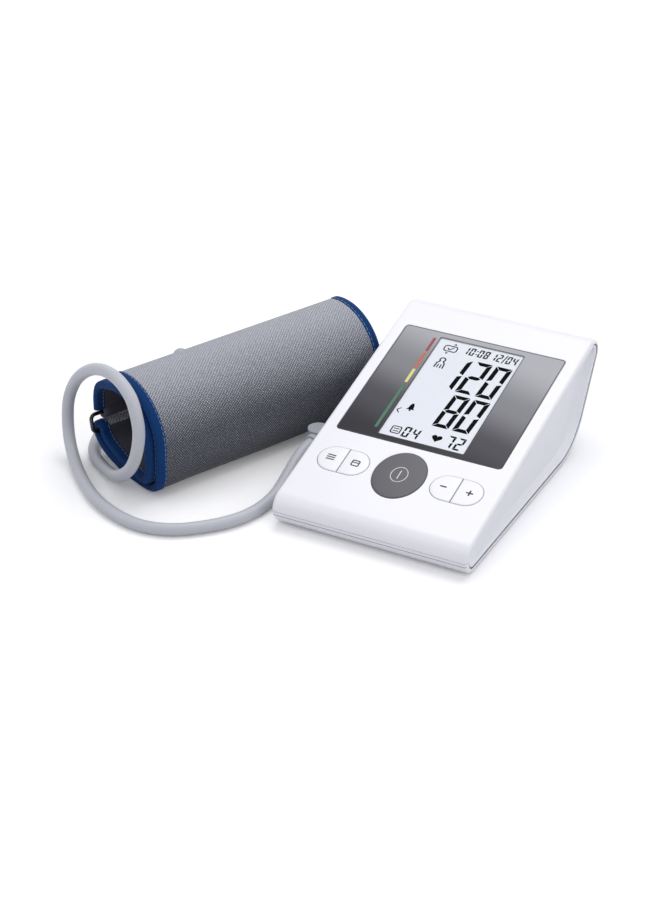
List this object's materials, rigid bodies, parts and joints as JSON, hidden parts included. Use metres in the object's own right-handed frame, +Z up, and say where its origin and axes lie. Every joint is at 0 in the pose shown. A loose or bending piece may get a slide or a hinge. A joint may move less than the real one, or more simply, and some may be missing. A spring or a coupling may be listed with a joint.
{
  "type": "upper arm blood pressure monitor",
  "caption": "Wedge-shaped blood pressure monitor with a large display, push keys and a rolled arm cuff on an air hose.",
  "frame": {"origin": "on the table under the middle of the bounding box of the desk unit and the rolled cuff, the hose and its plug left out", "axes": "+X along the desk unit's width to the right as seen by the user, +Y from the user towards the display's top edge, +Z up from the table"},
  "size_m": [0.2257, 0.1899, 0.0632],
  "materials": {
    "white_gloss": "gloss white",
    "cheek_white": "satin pale grey",
    "window_smoke": "gloss smoked grey",
    "lcd": "clear",
    "moulding_grey": "plain",
    "power_grey": "satin",
    "silicone": "plain",
    "board_green": "solder mask",
    "part_black": "plain",
    "motor_steel": "plated",
    "cell_can": "painted",
    "dark_rubber": "matt",
    "tube_clear": "smooth",
    "knit_grey": "heathered knit",
    "lining_dark": "smooth weave",
    "binding_navy": "ribbed tape",
    "bladder_rubber": "smooth",
    "hook_black": "hook tape",
    "ring_wire": "black"
  },
  "bodies": {
    "monitor": {"front_cover": "white_gloss", "rear_cover": "white_gloss", "left_cheek": "cheek_white", "right_cheek": "cheek_white", "display_window": "window_smoke", "lcd_panel": "lcd", "lcd_holder": "moulding_grey", "zebra_strip": "silicone", "key_mat": "silicone", "main_board": "board_green", "board_parts": "part_black", "buzzer": "part_black", "pressure_sensor": "moulding_grey", "pump_motor": "motor_steel", "pump_head": "part_black", "pump_diaphragm": "dark_rubber", "pump_sleeve": "dark_rubber", "release_valve": "moulding_grey", "inner_tubes": "tube_clear", "air_socket": "part_black", "battery_contacts": "motor_steel", "batteries": "cell_can", "rubber_feet": "dark_rubber", "housing_screws": "motor_steel", "board_screws": "motor_steel"},
    "power_key": {"power_button": "power_grey"},
    "set_key": {"set_button": "white_gloss"},
    "memory_key": {"memory_button": "white_gloss"},
    "minus_key": {"minus_button": "white_gloss"},
    "plus_key": {"plus_button": "white_gloss"},
    "battery_door": {"battery_cover": "white_gloss"},
    "pump_rotor": {"pump_shaft": "motor_steel"},
    "valve_pin": {"valve_plunger": "motor_steel"},
    "arm_cuff": {"cuff_cover": "knit_grey", "cuff_lining": "lining_dark", "cuff_binding_near": "binding_navy", "cuff_binding_far": "binding_navy", "air_bladder": "bladder_rubber", "hook_patch": "hook_black", "cuff_ring": "ring_wire", "hose_port": "tube_clear", "air_hose": "tube_clear", "hose_plug": "tube_clear"}
  },
  "joints": [
    {"name": "power_press", "type": "slide", "parent": "monitor", "child": "power_key", "axis": [0, 0.2576, -0.9662], "range_m": [0, 0.0008], "stiffness_N_per_m": 600},
    {"name": "set_press", "type": "slide", "parent": "monitor", "child": "set_key", "axis": [0, 0.2576, -0.9662], "range_m": [0, 0.0008], "stiffness_N_per_m": 600},
    {"name": "memory_press", "type": "slide", "parent": "monitor", "child": "memory_key", "axis": [0, 0.2576, -0.9662], "range_m": [0, 0.0008], "stiffness_N_per_m": 600},
    {"name": "minus_press", "type": "slide", "parent": "monitor", "child": "minus_key", "axis": [0, 0.2576, -0.9662], "range_m": [0, 0.0008], "stiffness_N_per_m": 600},
    {"name": "plus_press", "type": "slide", "parent": "monitor", "child": "plus_key", "axis": [0, 0.2576, -0.9662], "range_m": [0, 0.0008], "stiffness_N_per_m": 600},
    {"name": "battery_door_hinge", "type": "hinge", "parent": "monitor", "child": "battery_door", "pos_m": [0.057, -0.01805, 0.0006], "axis": [-1, 0, 0], "range_deg": [0, 90]},
    {"name": "pump_spin", "type": "hinge", "parent": "monitor", "child": "pump_rotor", "pos_m": [0.057, 0.0525, 0.0256], "axis": [1, 0, 0], "continuous": true},
    {"name": "valve_push", "type": "slide", "parent": "monitor", "child": "valve_pin", "axis": [0, 0, -1], "range_m": [0, 0.001], "stiffness_N_per_m": 200},
    {"name": "air_plug_pull", "type": "slide", "parent": "monitor", "child": "arm_cuff", "axis": [-1, 0, 0], "range_m": [0, 0.015]}
  ]
}
